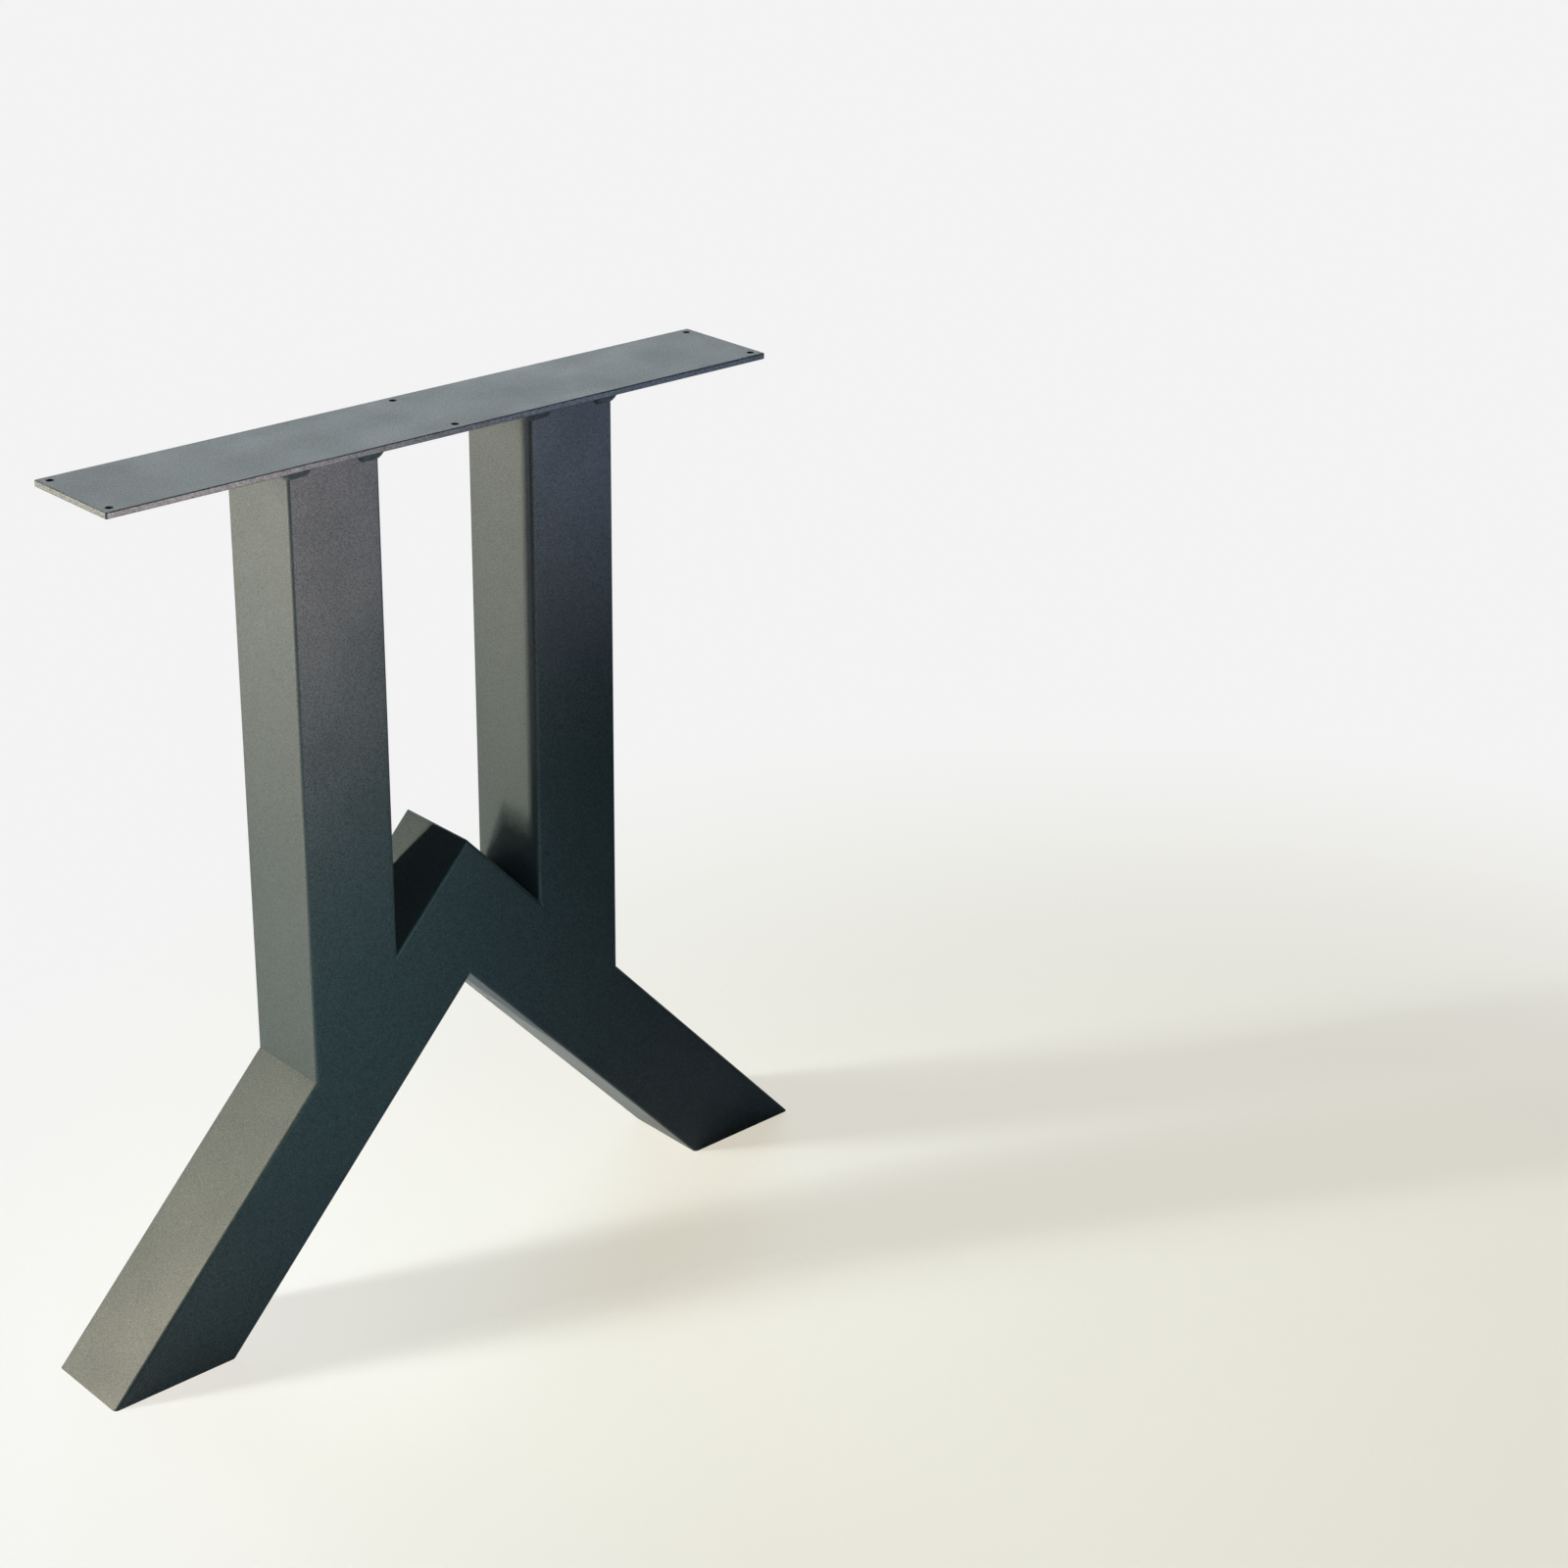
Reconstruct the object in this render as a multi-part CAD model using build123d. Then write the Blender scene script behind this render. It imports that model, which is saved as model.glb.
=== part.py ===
from build123d import *
import os
from math import atan2, cos, hypot, sin, sqrt

# Welded steel desk leg. A flat mounting plate lies on two upright square tubes, the posts, and these stand on
# a chevron of two slanted square tubes, the struts. Millimetres, +Z up, X along the plate, Y through the leg,
# with the origin on the floor under the middle. The leg is the same left and right, and front and back.

os.makedirs("parts", exist_ok=True)

# Overall sizes
height = 710.0               # floor to the top of the mounting plate
foot_span = 690.0            # between the outer edges of the feet
apex_height = 371.0          # floor to the ridge where the struts meet
post_gap = 140.0             # clear width between the posts

# Square tube of the posts and struts
tube_size = 80.0
tube_wall = 2.0
tube_inner_radius = 1.0      # inside corner of the tube

# Mounting plate and its screw holes
plate_length = 605.0
plate_overhang = 7.5         # plate past the tube, front and back
plate_thickness = 5.0
plate_corner_radius = 1.5    # upright corners of the plate
plate_edge_radius = 0.8      # rounding along the plate's top and bottom edges
hole_diameter = 6.0
hole_end_inset = 8.0         # hole centre to the plate's end
hole_edge_inset = 8.5        # hole centre to the plate's long edge

# Closing plates in the feet
foot_plate_thickness = 3.0
foot_plate_gap = 0.2         # room to push the plate into the tube

# Fillet weld beads between the posts and the mounting plate
bead_leg = 7.0               # bead height down the post
bead_edge_gap = 0.7          # plate left free past the bead
bead_run = 12.0              # straight length along the post's face
bead_crown = 0.5             # bulge of the bead's face

# Ground weld seams at the knees
seam_edge = 0.05             # thickness of the seam's thin edges

# Ground weld along the ridge
ridge_radius = 1.5           # rounding where the struts' upper faces meet

# Sizes that follow
tube_outer_radius = tube_inner_radius + tube_wall
tube_bore = tube_size - 2 * tube_wall
half_tube = tube_size / 2
post_x = (post_gap + tube_size) / 2
plate_underside = height - plate_thickness
plate_width = tube_size + 2 * plate_overhang
foot_x = foot_span / 2
slope = atan2(apex_height, foot_x)

# The right strut's outer face starts at the floor, at foot_x, and rises towards the apex.
strut_along = Vector(-cos(slope), 0, sin(slope))
strut_outward = Vector(sin(slope), 0, cos(slope))
strut_face = Plane(origin=(foot_x, 0, 0), x_dir=strut_along, z_dir=strut_outward)
strut_start = Vector(foot_x, 0, 0) - strut_outward * half_tube - strut_along * tube_size
strut_section_plane = Plane(origin=strut_start, x_dir=strut_outward, z_dir=strut_along)
strut_stock_length = hypot(foot_x, apex_height) + 2 * tube_size


def square_profile(size, radius):
    return RectangleRounded(size, size, radius)


def tube_profile():
    return square_profile(tube_size, tube_outer_radius) - square_profile(tube_bore, tube_inner_radius)


def upright(profile):
    """Bar of this profile from the floor to the plate, at the right post's place."""
    return extrude(Pos(post_x, 0, 0) * profile, amount=plate_underside)


def slanted(profile):
    """Bar of this profile along the right strut, longer than the strut at both ends."""
    return extrude(strut_section_plane * profile, amount=strut_stock_length)


def above_floor(bar):
    return split(bar, bisect_by=Plane.XY, keep=Keep.TOP)


def mirrored_x(shape):
    return mirror(shape, about=Plane.YZ)


def mirrored_y(shape):
    return mirror(shape, about=Plane.XZ)


def make_mounting_plate():
    hole_rows = plate_width - 2 * hole_edge_inset
    hole_columns = (plate_length - 2 * hole_end_inset) / 2
    outline = RectangleRounded(plate_length, plate_width, plate_corner_radius)
    blank = extrude(Pos(0, 0, plate_underside) * outline, amount=plate_thickness)
    rims = blank.faces().sort_by(Axis.Z)[0].edges() + blank.faces().sort_by(Axis.Z)[-1].edges()
    blank = fillet(rims, plate_edge_radius)
    drill = Cylinder(hole_diameter / 2, 2 * plate_thickness)
    places = GridLocations(hole_columns, hole_rows, 3, 2)
    drills = [Pos(0, 0, plate_underside) * place * drill for place in places]
    return blank - drills


def make_post():
    """The right post: cut on the slope, so that it stands on the strut's outer face."""
    return split(upright(tube_profile()), bisect_by=strut_face, keep=Keep.TOP)


def make_ridge_waste():
    """What grinding takes off the sharp ridge, on both sides of the middle plane."""
    axis_height = apex_height - ridge_radius / cos(slope)
    side = (ridge_radius * sin(slope), axis_height + ridge_radius * cos(slope))
    top = (0, axis_height + ridge_radius)
    left_side = (-side[0], side[1])
    ground = ThreePointArc(side, top, left_side)
    sharp = Line(left_side, (0, apex_height)) + Line((0, apex_height), side)
    return extrude(Plane.XZ * make_face(ground + sharp), amount=half_tube, both=True)


def make_strut():
    """The right strut: cut level at the floor, mitred on the middle plane and rounded along the ridge."""
    mitred = split(above_floor(slanted(tube_profile())), bisect_by=Plane.YZ, keep=Keep.TOP)
    return mitred - make_ridge_waste()


def make_foot_plate():
    """Plug with sloping sides that closes the right strut's level end."""
    plug = above_floor(slanted(square_profile(tube_bore - 2 * foot_plate_gap, tube_inner_radius)))
    return split(plug, bisect_by=Plane.XY.offset(foot_plate_thickness), keep=Keep.BOTTOM)


def make_bead():
    """Weld bead at the front outer corner of a post that stands at X = 0, made of four stretches.

    It runs along the front face, turns round the tube's corner, and fades out at both ends.
    """
    corner = half_tube - tube_outer_radius
    reach = plate_overhang - bead_edge_gap
    chord = hypot(reach, bead_leg)
    crown = (reach / 2 + bead_crown * bead_leg / chord, bead_leg / 2 + bead_crown * reach / chord)
    under_plate = Line((0, 0), (reach, 0))
    bulge = ThreePointArc((reach, 0), crown, (0, bead_leg))
    on_post = Line((0, bead_leg), (0, 0))
    section = make_face(under_plate + bulge + on_post)
    run_start = corner - bead_run

    def facing_front(x):
        return Plane(origin=(x, -half_tube, plate_underside), x_dir=(0, -1, 0), z_dir=(1, 0, 0)) * section

    def upright_axis(x, y):
        return Axis((x, y, plate_underside), (0, 0, 1))

    side_plane = Plane(origin=(half_tube, -corner, plate_underside), x_dir=(1, 0, 0), z_dir=(0, 1, 0))
    facing_side = side_plane * section
    front_end = revolve(facing_front(run_start), upright_axis(run_start, -half_tube), revolution_arc=-90)
    run = extrude(facing_front(run_start), amount=bead_run)
    turn = revolve(facing_front(corner), upright_axis(corner, -corner), revolution_arc=90)
    side_end = revolve(facing_side, upright_axis(half_tube, -corner), revolution_arc=90)
    return front_end + run + turn + side_end


def make_plate_welds():
    right = make_bead()
    pair = [right, mirrored_x(right)]
    four = pair + [mirrored_y(bead) for bead in pair]
    return [Pos(x, 0, 0) * bead for x in (-post_x, post_x) for bead in four]


def make_knee_welds():
    """Weld metal under the front and back walls of the posts, flush with the struts' sides."""
    corner = half_tube - tube_outer_radius
    lip = sqrt(2 * tube_outer_radius * seam_edge - seam_edge**2)
    depth = tube_outer_radius - lip
    square = Pos(corner + lip, corner + lip) * Rectangle(depth, depth, align=(Align.MIN, Align.MIN))
    fill = square - Pos(corner, corner) * Circle(tube_outer_radius)
    strip = slanted(fill) & upright(square_profile(tube_size, tube_outer_radius))
    right = [strip, mirrored_y(strip)]
    return right + [mirrored_x(weld) for weld in right]


def as_group(shapes):
    return Compound(children=[solid for shape in shapes for solid in shape.solids()])


right_post = make_post()
right_strut = make_strut()
right_foot_plate = make_foot_plate()
nodes = {
    "mounting_plate": make_mounting_plate(),
    "left_post": mirrored_x(right_post),
    "right_post": right_post,
    "left_strut": mirrored_x(right_strut),
    "right_strut": right_strut,
    "left_foot_plate": mirrored_x(right_foot_plate),
    "right_foot_plate": right_foot_plate,
    "plate_welds": as_group(make_plate_welds()),
    "knee_welds": as_group(make_knee_welds()),
}
for name, shape in nodes.items():
    export_step(shape, f"parts/{name}.step")
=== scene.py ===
# %% [markdown]
# # A welded steel desk leg
# The leg is a small weldment: a flat mounting plate on two upright square tubes, the posts, which
# stand on a chevron of two slanted square tubes, the struts. All of it is satin black powder coat,
# so the picture lives from how that coat takes the light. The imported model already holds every
# piece at its real size. We load it as a fixed frame, in metres, and build the finish, the weld
# beads and the studio around it.

# %% Load the frame
from math import hypot, radians, sin

import bpy
from mathutils import Euler, Matrix, Vector


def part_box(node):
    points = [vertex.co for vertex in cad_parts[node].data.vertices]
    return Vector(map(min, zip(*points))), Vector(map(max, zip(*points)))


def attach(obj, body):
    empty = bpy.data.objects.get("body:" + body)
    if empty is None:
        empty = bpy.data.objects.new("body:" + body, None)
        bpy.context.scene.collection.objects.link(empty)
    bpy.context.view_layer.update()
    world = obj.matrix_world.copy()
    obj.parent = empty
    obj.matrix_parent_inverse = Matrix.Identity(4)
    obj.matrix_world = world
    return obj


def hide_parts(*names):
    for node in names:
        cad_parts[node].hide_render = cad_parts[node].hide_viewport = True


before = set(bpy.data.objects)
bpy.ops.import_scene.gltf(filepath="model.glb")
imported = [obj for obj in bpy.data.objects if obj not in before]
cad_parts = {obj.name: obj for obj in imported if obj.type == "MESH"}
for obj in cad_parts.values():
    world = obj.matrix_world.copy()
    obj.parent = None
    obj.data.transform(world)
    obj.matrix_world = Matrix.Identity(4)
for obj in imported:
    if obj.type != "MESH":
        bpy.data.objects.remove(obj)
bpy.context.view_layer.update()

scene = bpy.context.scene
scene.view_settings.view_transform = "Standard"
bpy.ops.object.select_all(action="DESELECT")
print("nodes:", ", ".join(sorted(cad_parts)))

# %% [markdown]
# ## The camera
# A photograph of straight edges tells where its camera stood: edges that are parallel on the object
# run to common points in the picture. The place, angles and lens below come from fitting the leg's
# edges that way. The lens is long, the camera stands to the left in front of the leg and looks down
# on it, and the axis of the lens meets the picture above its middle, so the frame needs a vertical
# shift.

# %% Camera
camera_place = Vector((-1.3472, -1.8574, 1.4151))
turned_right = radians(42.776)      # from straight along +Y
tilted_down = radians(21.705)
rolled = radians(0.688)
picture_side = 1600                 # pixels
focal_length = 3235.2               # pixels
axis_pixel = (800.0, 680.0)         # where the lens axis meets the picture

lens = bpy.data.cameras.new("photo_camera")
lens.sensor_width = 36.0
lens.lens = lens.sensor_width * focal_length / picture_side
lens.shift_x = (picture_side / 2 - axis_pixel[0]) / picture_side
lens.shift_y = (axis_pixel[1] - picture_side / 2) / picture_side
camera = bpy.data.objects.new("photo_camera", lens)
scene.collection.objects.link(camera)
turn = Euler((radians(90) - tilted_down, 0, -turned_right)).to_matrix()
turn = turn @ Matrix.Rotation(rolled, 3, "Z")
camera.matrix_world = Matrix.Translation(camera_place) @ turn.to_4x4()
scene.camera = camera
print(f"lens {lens.lens:.1f} mm, shift {lens.shift_x:.3f} {lens.shift_y:.3f}")

# %% [markdown]
# ## Powder coat
# The darker colour in the hollows is partly painted shade, the small shadows between the grains,
# laid over the grain's random tone.
# Powder coat is a dry paint that is baked onto the steel. The satin black kind has three scales of
# unevenness: a fine grain of about a millimetre, a soft orange peel of some millimetres where the
# melt did not level out, and broad patches where the layer is thicker and a little glossier. A
# picture texture could show them, but noise on Object coordinates has a real size and no seams. The
# coat is black with a breath of green-blue, and a little sheen gives the pale bloom that it shows
# at a flat angle. The grain's hollows are darker than its tips, and duller: on so dark a paint the
# colour alone would hardly show, because most of what the eye sees is gloss.
#
# Thin edges draw more powder than flat faces do, so the rim of the plate gets a fuller, glossier
# layer. A face's own normal tells the rim from the top, so no second material is needed.

# %% A helper that lays noise of a real size over a piece
def coat_noise(tree, coords, size, detail, sharpness):
    noise = tree.nodes.new("ShaderNodeTexNoise")
    noise.inputs["Scale"].default_value = 1 / size
    noise.inputs["Detail"].default_value = detail
    noise.inputs["Roughness"].default_value = sharpness
    tree.links.new(coords.outputs["Object"], noise.inputs["Vector"])
    return noise.outputs["Fac"]


def stretched(tree, value, low, high, new_low, new_high):
    reach = tree.nodes.new("ShaderNodeMapRange")
    reach.inputs["From Min"].default_value = low
    reach.inputs["From Max"].default_value = high
    reach.inputs["To Min"].default_value = new_low
    reach.inputs["To Max"].default_value = new_high
    tree.links.new(value, reach.inputs["Value"])
    return reach.outputs["Result"]


def added(tree, value, more, times):
    total = tree.nodes.new("ShaderNodeMath")
    total.operation = "MULTIPLY_ADD"
    tree.links.new(more, total.inputs[0])
    total.inputs[1].default_value = times
    tree.links.new(value, total.inputs[2])
    return total.outputs["Value"]


def pressed(tree, height, depth, strength, below=None):
    bump = tree.nodes.new("ShaderNodeBump")
    bump.inputs["Distance"].default_value = depth
    bump.inputs["Strength"].default_value = strength
    tree.links.new(height, bump.inputs["Height"])
    if below:
        tree.links.new(below, bump.inputs["Normal"])
    return bump.outputs["Normal"]


# %% The coat in one function, with the values that differ from piece to piece
# The hollows' colour is darker partly as painted shade between the grains; the rest is the grain's
# random tone.
grain_hollow_shaded = (0.0006, 0.0055, 0.0072, 1)
grain_tip = (0.0115, 0.0288, 0.0353, 1)
grain_range = (0.33, 0.67)          # where the noise's values mostly lie
grain_depth, grain_strength = 0.00025, 0.35
peel_size = 0.0055
peel_depth, peel_strength = 0.0004, 0.12
patch_range = (0.3, 0.7)
mean_gloss = 0.40
bloom, bloom_blur = 0.10, 0.5       # the sheen's weight and roughness
rim_range = (0.1, 0.4)              # upright share of the normal, from the rim to the top
rim_smoothing = -0.35               # how much of the rim's extra gloss comes off its roughness


def powder_coat(name, grain_size=0.0009, patch_size=0.07, smooth=0.51, rough=0.60,
                sparkle=0.11, full_rim=0.0):
    coat = bpy.data.materials.new(name)
    coat.use_nodes = True
    tree = coat.node_tree
    shader = tree.nodes["Principled BSDF"]
    coords = tree.nodes.new("ShaderNodeTexCoord")
    grain = coat_noise(tree, coords, grain_size, 2.0, 0.6)
    peel = coat_noise(tree, coords, peel_size, 1.0, 0.5)
    patch = coat_noise(tree, coords, patch_size, 2.0, 0.55)
    # Base colour: the grain's tone, with painted shade darkening its hollows.
    colour = tree.nodes.new("ShaderNodeMix")
    colour.data_type = "RGBA"
    colour.inputs["A"].default_value = grain_hollow_shaded
    colour.inputs["B"].default_value = grain_tip
    tree.links.new(stretched(tree, grain, *grain_range, 0, 1), colour.inputs["Factor"])
    tree.links.new(colour.outputs["Result"], shader.inputs["Base Color"])
    gloss = stretched(tree, grain, *grain_range, mean_gloss - sparkle, mean_gloss + sparkle)
    blur = stretched(tree, patch, *patch_range, smooth, rough)
    if full_rim:
        face = tree.nodes.new("ShaderNodeNewGeometry")
        axes = tree.nodes.new("ShaderNodeSeparateXYZ")
        tree.links.new(face.outputs["Normal"], axes.inputs["Vector"])
        level = tree.nodes.new("ShaderNodeMath")
        level.operation = "ABSOLUTE"
        tree.links.new(axes.outputs["Z"], level.inputs[0])
        on_rim = stretched(tree, level.outputs["Value"], *rim_range, full_rim, 0)
        gloss = added(tree, gloss, on_rim, 1.0)
        blur = added(tree, blur, on_rim, rim_smoothing)
    tree.links.new(gloss, shader.inputs["Specular IOR Level"])
    tree.links.new(blur, shader.inputs["Roughness"])
    below = pressed(tree, peel, peel_depth, peel_strength)
    relief = pressed(tree, grain, grain_depth, grain_strength, below)
    tree.links.new(relief, shader.inputs["Normal"])
    shader.inputs["Sheen Weight"].default_value = bloom
    shader.inputs["Sheen Roughness"].default_value = bloom_blur
    return coat


tube_coat = powder_coat("tube_coat")
plate_coat = powder_coat("plate_coat", grain_size=0.0013, patch_size=0.05, smooth=0.52, rough=0.58,
                         sparkle=0.20, full_rim=0.12)
weld_coat = powder_coat("weld_coat", grain_size=0.0012, smooth=0.44, rough=0.52)
print("coats:", tube_coat.name, plate_coat.name, weld_coat.name)

# %% Paint the pieces whose shape is already right
finish_of = {name: tube_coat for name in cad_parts}
finish_of["mounting_plate"] = plate_coat
for name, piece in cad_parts.items():
    for slot in piece.material_slots:
        slot.material = finish_of[name]
    print(f"{name}: {finish_of[name].name} in {len(piece.material_slots)} slot")

# %% [markdown]
# ## The weld beads under the plate
# Each post is held to the plate by four short fillet welds, one at every corner. A bead starts on
# the wide face, runs to the tube's corner, goes round it and stops on the next face, and it fills
# the angle under the plate's overhang with a slightly crowned, rippled slope. It could be a
# bevelled curve, but a curve can't stay flat on two faces. So we draw the bead's cross-section
# once, on the post's face, and sweep it: spin it away from the face, push it along, spin it round
# the corner, and spin it down onto the next face. Between the small steps the section grows and
# shrinks a little about its root, which makes the ripples.

# %% Measure the places that the bead sits on
millimetre = 0.001
post_low, post_high = [Vector(corner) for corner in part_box("right_post")]
plate_low, plate_high = [Vector(corner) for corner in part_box("mounting_plate")]
post_half = (post_high.x - post_low.x) / 2
post_middle = (post_high.x + post_low.x) / 2
underside = plate_low.z
corner_round = 3 * millimetre                   # outer corner of the square tube
bead_reach = 5.4 * millimetre                   # out under the plate
bead_drop = 6.8 * millimetre                    # down the post
bead_crown = 0.7 * millimetre                   # bulge of its slope
bead_run = 12 * millimetre                      # straight stretch along the post
print(f"post {2000 * post_half:.1f} mm wide at x {1000 * post_middle:.1f},",
      f"plate from z {1000 * underside:.1f} mm")

# %% Draw the section: a large disc, cut back to the sliver between post and plate
disc_corners = 160
slope_length = hypot(bead_reach, bead_drop)
disc_radius = (slope_length**2 / 4 + bead_crown**2) / (2 * bead_crown)
inward = disc_radius - bead_crown
turn_x = post_half - corner_round               # where the tube's corner begins
root = Vector((turn_x - bead_run, -post_half, underside))
disc_middle = root + Vector((-bead_reach / 2 + inward * bead_drop / slope_length, 0,
                             -bead_drop / 2 + inward * bead_reach / slope_length))
bpy.ops.mesh.primitive_circle_add(vertices=disc_corners, radius=disc_radius, fill_type="NGON",
                                  location=disc_middle, rotation=(radians(90), 0, 0))
bead = bpy.context.object
bead.name = "weld_bead"
bpy.ops.object.transform_apply(location=True, rotation=True, scale=True)
bpy.ops.object.mode_set(mode="EDIT")
for away in ((1, 0, 0), (0, 0, 1)):
    bpy.ops.mesh.select_all(action="SELECT")
    bpy.ops.mesh.bisect(plane_co=root, plane_no=away, clear_outer=True)
bpy.ops.mesh.select_all(action="SELECT")
bpy.ops.object.mode_set(mode="OBJECT")
print("section has", len(bead.data.vertices), "corners")

# %% Sweep it, with a ripple every few steps
ripple_step = 0.5 * millimetre
ripple_depth = 0.035
steps_per_ripple = 4
swell = 1.0
step_count = 0


def ripple_to_next(at):
    """Scales the section about its root to the size that the next ring of the bead has."""
    global swell, step_count
    step_count += 1
    wave = abs(sin(radians(180) * step_count / steps_per_ripple))
    wander = 0.012 * sin(1.7 * step_count) + 0.010 * sin(0.6 * step_count)
    wanted = 1 + ripple_depth * (wave - 0.6) + wander
    factor = wanted / swell
    bpy.ops.transform.resize(value=(factor, factor, factor), center_override=at)
    swell = wanted


def turn_section(axis, at, steps):
    """Spins the section by a quarter turn about an upright axis and returns where its root comes to.

    Spin counts its angle clockwise as seen from above, and Matrix.Rotation the other way,
    so one of them is negative.
    """
    for _ in range(steps):
        bpy.ops.mesh.spin(steps=1, angle=-radians(90) / steps, center=axis, axis=(0, 0, 1))
        at = axis + Matrix.Rotation(radians(90) / steps, 3, "Z") @ (at - axis)
        ripple_to_next(at)
    return at


def run_section(way, length, at):
    steps = round(length / ripple_step)
    for _ in range(steps):
        bpy.ops.mesh.extrude_region_move(TRANSFORM_OT_translate={"value": way * length / steps})
        at = at + way * length / steps
        ripple_to_next(at)
    return at


end_steps, corner_steps = 10, 18
bpy.ops.object.mode_set(mode="EDIT")
bpy.ops.mesh.select_mode(type="FACE")
place = turn_section(root, root, end_steps)
place = run_section(Vector((1, 0, 0)), bead_run, place)
place = turn_section(Vector((turn_x, -turn_x, underside)), place, corner_steps)
place = turn_section(place, place, end_steps)
bpy.ops.mesh.select_all(action="SELECT")
bpy.ops.mesh.remove_doubles(threshold=1e-6)
bpy.ops.mesh.normals_make_consistent(inside=False)
bpy.ops.object.mode_set(mode="OBJECT")
bpy.ops.object.shade_smooth_by_angle(angle=radians(45))
bead.data.materials.append(weld_coat)
print("bead has", len(bead.data.polygons), "faces and ends at",
      [round(1000 * v, 1) for v in place], "mm")

# %% Copy it to both posts' four corners
beads = []
for post_x in (-post_middle, post_middle):
    for side_x in (1, -1):
        for side_y in (1, -1):
            bpy.ops.object.select_all(action="DESELECT")
            bead.select_set(True)
            bpy.context.view_layer.objects.active = bead
            bpy.ops.object.duplicate(linked=False)
            copy = bpy.context.object
            copy.name = f"weld_bead_{len(beads) + 1}"
            copy.scale = (side_x, side_y, 1)
            copy.location = (post_x, 0, 0)
            bpy.ops.object.transform_apply(location=True, rotation=True, scale=True)
            bpy.ops.object.mode_set(mode="EDIT")
            bpy.ops.mesh.select_all(action="SELECT")
            bpy.ops.mesh.normals_make_consistent(inside=False)
            bpy.ops.object.mode_set(mode="OBJECT")
            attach(copy, "root")
            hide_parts("plate_welds")
            beads.append(copy)
bpy.data.objects.remove(bead)
first_x = min(v.co.x for v in beads[0].data.vertices)
print(len(beads), "beads, the first from x", round(1000 * first_x, 1), "mm")

# %% [markdown]
# ## The studio floor
# The leg stands on white paper that looks nearly the same brightness everywhere, with a pale
# shadow. White paint alone would grey out away from the lamps. So what the eye sees of the floor is
# mostly an even pale glow, mixed with the paint that the lamps light. Near the leg the glow is
# creamy, which is painted warm light, and it turns neutral further off. The paint's share carries
# the leg's shadow. In the coat's gloss the glow counts less near the leg, so that the front faces
# mirror the shadow at its full depth.

# %% Floor
floor_side = 40.0
shadow_zone = (0.45, 1.2)           # distances over which the shadow's share fades out
# The creamy tint near the leg is painted warm light. It fades to neutral over the distances below.
painted_warmth_zone = (0.35, 1.2)            # and over which the creamy tint does
glow_in_shadow = 0.64               # the glow's share there to the eye
mirrored_in_shadow = 0.10           # and in the coat's gloss
bpy.ops.object.select_all(action="DESELECT")
bpy.ops.mesh.primitive_plane_add(size=floor_side, location=(0, 0, 0))
floor = bpy.context.object
floor.name = "studio_floor"
floor_paper = bpy.data.materials.new("floor_paper")
floor_paper.use_nodes = True
tree = floor_paper.node_tree
nodes, links = tree.nodes, tree.links
paint = nodes["Principled BSDF"]
paint.inputs["Base Color"].default_value = (0.66, 0.80, 1.0, 1)
paint.inputs["Roughness"].default_value = 0.9
paint.inputs["Specular IOR Level"].default_value = 0.2
coords = nodes.new("ShaderNodeTexCoord")
distance = nodes.new("ShaderNodeVectorMath")
distance.operation = "DISTANCE"
distance.inputs[1].default_value = (0.40, -0.45, 0)      # the middle of the shadow
links.new(coords.outputs["Object"], distance.inputs[0])


def fading(near, far, at_near, at_far):
    fade = nodes.new("ShaderNodeMapRange")
    fade.interpolation_type = "SMOOTHSTEP"
    fade.inputs["From Min"].default_value = near
    fade.inputs["From Max"].default_value = far
    fade.inputs["To Min"].default_value = at_near
    fade.inputs["To Max"].default_value = at_far
    links.new(distance.outputs["Value"], fade.inputs["Value"])
    return fade.outputs["Result"]


def joined(operation, first, second):
    maths = nodes.new("ShaderNodeMath")
    maths.operation = operation
    links.new(first, maths.inputs[0])
    links.new(second, maths.inputs[1])
    return maths.outputs["Value"]


# The glow's colour is creamy near the leg as painted warm light, and neutral further off.
painted_warm_glow_colour = nodes.new("ShaderNodeMix")
painted_warm_glow_colour.data_type = "RGBA"
painted_warm_glow_colour.inputs["A"].default_value = (1.0, 0.94, 0.785, 1)
painted_warm_glow_colour.inputs["B"].default_value = (0.896, 0.896, 0.896, 1)
links.new(fading(*painted_warmth_zone, 0, 1), painted_warm_glow_colour.inputs["Factor"])
glow = nodes.new("ShaderNodeEmission")
links.new(painted_warm_glow_colour.outputs["Result"], glow.inputs["Color"])
ray = nodes.new("ShaderNodeLightPath")
seen = joined("MAXIMUM", ray.outputs["Is Camera Ray"], ray.outputs["Is Transmission Ray"])
seen = joined("MULTIPLY", seen, fading(*shadow_zone, glow_in_shadow, 1.0))
mirrored = joined("MULTIPLY", ray.outputs["Is Glossy Ray"],
                  fading(*shadow_zone, mirrored_in_shadow, 1.0))
paper = nodes.new("ShaderNodeMixShader")
links.new(joined("MAXIMUM", seen, mirrored), paper.inputs["Fac"])
links.new(paint.outputs["BSDF"], paper.inputs[1])
links.new(glow.outputs["Emission"], paper.inputs[2])
links.new(paper.outputs["Shader"], nodes["Material Output"].inputs["Surface"])
floor.data.materials.append(floor_paper)
print("floor", floor.name, "with", floor_paper.name)

# %% [markdown]
# ## The light
# Two shadows on the right post give the main light away: the apex throws a dark wedge on its left
# face, and the left post a thin dark strip beside it. Lines from those shadows back over the edges
# that cast them meet low on the left, a little behind the leg. So the key is a narrow upright strip
# there, warm and crisp. It gives the left faces their tone and leaves the front faces to what they
# mirror. A wide, cool softbox behind makes the plate's top pale.
#
# What is left are soft gradients: the left strut is brightest at its foot, and the posts are at
# their upper ends. Five small lamps with a grid in front, which narrows the beam, each lift one
# such place and spill little elsewhere. A bigger softbox could not do that without lighting the
# dark faces too. The room is dim and bluish overhead and pale along the horizon.

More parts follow.
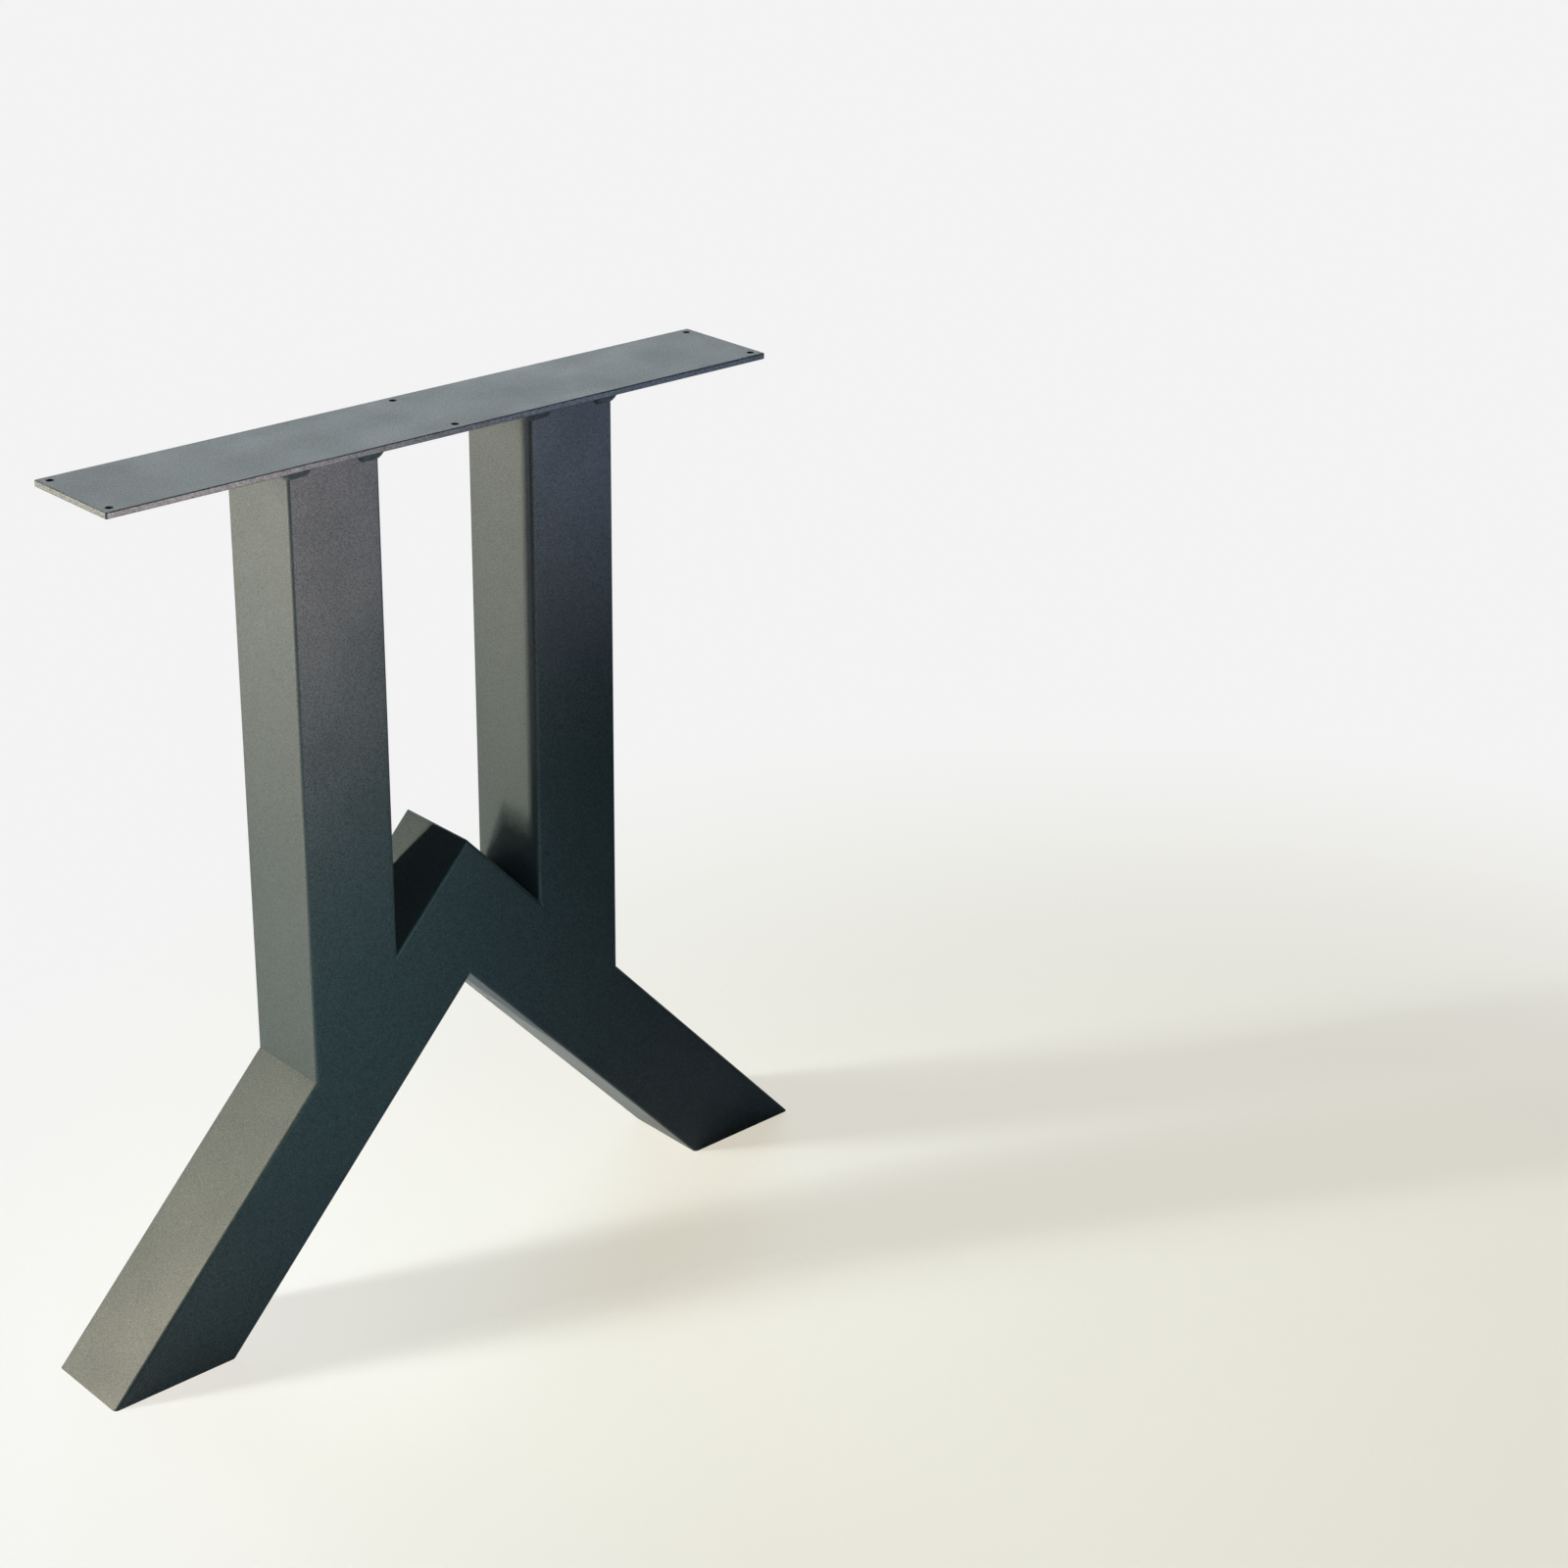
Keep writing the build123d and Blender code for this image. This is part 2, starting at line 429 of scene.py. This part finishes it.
# %% Room
horizon_band = (0.01, 0.09)         # height of the direction, from pale to dim
horizon_level, overhead_level = 0.896, 0.05
room = bpy.data.worlds.new("studio_room")
scene.world = room
room.use_nodes = True
sky = room.node_tree
direction = sky.nodes.new("ShaderNodeTexCoord")
parts = sky.nodes.new("ShaderNodeSeparateXYZ")
sky.links.new(direction.outputs["Generated"], parts.inputs["Vector"])
climb = sky.nodes.new("ShaderNodeMapRange")
climb.interpolation_type = "SMOOTHSTEP"
climb.inputs["From Min"].default_value = horizon_band[0]
climb.inputs["From Max"].default_value = horizon_band[1]
sky.links.new(parts.outputs["Z"], climb.inputs["Value"])
dimming = sky.nodes.new("ShaderNodeMapRange")
dimming.inputs["To Min"].default_value = horizon_level
dimming.inputs["To Max"].default_value = overhead_level
sky.links.new(climb.outputs["Result"], dimming.inputs["Value"])
sky_tint = sky.nodes.new("ShaderNodeMix")
sky_tint.data_type = "RGBA"
sky_tint.inputs["A"].default_value = (0.97, 0.99, 1.0, 1)
sky_tint.inputs["B"].default_value = (0.50, 0.80, 1.0, 1)
backdrop = sky.nodes["Background"]
sky.links.new(climb.outputs["Result"], sky_tint.inputs["Factor"])
sky.links.new(sky_tint.outputs["Result"], backdrop.inputs["Color"])
sky.links.new(dimming.outputs["Result"], backdrop.inputs["Strength"])
print("room", room.name)


# %% Softboxes
def softbox(name, place, target, width, height, watts, colour, beam=180):
    lamp = bpy.data.lights.new(name, "AREA")
    lamp.shape = "RECTANGLE"
    lamp.size = width
    lamp.size_y = height
    lamp.energy = watts
    lamp.color = colour
    lamp.spread = radians(beam)
    box = bpy.data.objects.new(name, lamp)
    scene.collection.objects.link(box)
    box.location = place
    box.rotation_euler = (Vector(target) - Vector(place)).to_track_quat("-Z", "Y").to_euler()
    print(f"{name}: {watts} W, {width} x {height} m, beam {beam} degrees")


softbox("key_strip", (-1.71, 0.84, 0.66), (0, 0, 0.52),
        0.08, 0.72, 63, (1.0, 0.87, 0.67), 140)
softbox("back_softbox", (2.0, 3.0, 2.3), (0, 0, 0.6),
        3.0, 1.8, 90, (0.83, 0.93, 0.98))
softbox("strut_grid", (-1.71, 0.84, 1.34), (-0.23, 0, 0.28),
        0.2, 0.2, 0.45, (1.0, 0.88, 0.63), 26)
softbox("left_post_grid", (-0.70, 1.00, 0.35), (0.05, 0, 1.05),
        0.4, 0.4, 0.16, (0.9, 0.95, 1.0), 50)
softbox("front_post_grid", (0.10, -0.75, 0.45), (-0.30, -0.04, 0.74),
        0.25, 0.25, 1.27, (1.0, 0.84, 0.82), 62)
softbox("right_post_grid", (0.70, -0.79, 0.34), (0.18, -0.04, 0.95),
        0.25, 0.25, 0.51, (0.50, 0.63, 1.0), 48)
softbox("front_strut_grid", (-0.15, -0.85, 0.30), (-0.15, -0.04, 0.27),
        0.25, 0.25, 0.39, (0.50, 0.91, 0.90), 52)

# %% [markdown]
# ## Black flags
# A glossy dark face shows whatever stands opposite it. The front of the right post and the shaded
# part of its left face would mirror pale floor and come out grey. In a studio a black card, called
# a flag, is stood where such a face looks. We use two, one to the right of the leg and one behind
# the left post. Plain cards would show in the picture and throw shadows, so ours are left out of
# everything but the coat's gloss.

# %% Flags
flag_cloth = bpy.data.materials.new("flag_cloth")
flag_cloth.use_nodes = True
cloth = flag_cloth.node_tree.nodes["Principled BSDF"]
cloth.inputs["Base Color"].default_value = (0.004, 0.012, 0.016, 1)
cloth.inputs["Roughness"].default_value = 0.9
cloth.inputs["Specular IOR Level"].default_value = 0.1


def black_flag(name, x, y, turned, width, height):
    """Stands a card on the floor that only the coat's gloss shows.

    It faces the front, turned about its upright axis by so many degrees.
    """
    bpy.ops.object.select_all(action="DESELECT")
    bpy.ops.mesh.primitive_plane_add(size=1.0, location=(x, y, height / 2),
                                     rotation=(radians(90), 0, radians(turned)))
    flag = bpy.context.object
    flag.name = name
    flag.scale = (width, height, 1)
    bpy.ops.object.transform_apply(location=True, rotation=True, scale=True)
    flag.data.materials.append(flag_cloth)
    flag.visible_camera = False
    flag.visible_diffuse = False
    flag.visible_transmission = False
    flag.visible_shadow = False
    print(f"{name}: {width} x {height} m at {x}, {y}")


black_flag("right_flag", 0.42, -0.40, -90, 0.64, 0.40)
black_flag("rear_flag", -0.23, 0.52, 38, 0.32, 0.32)
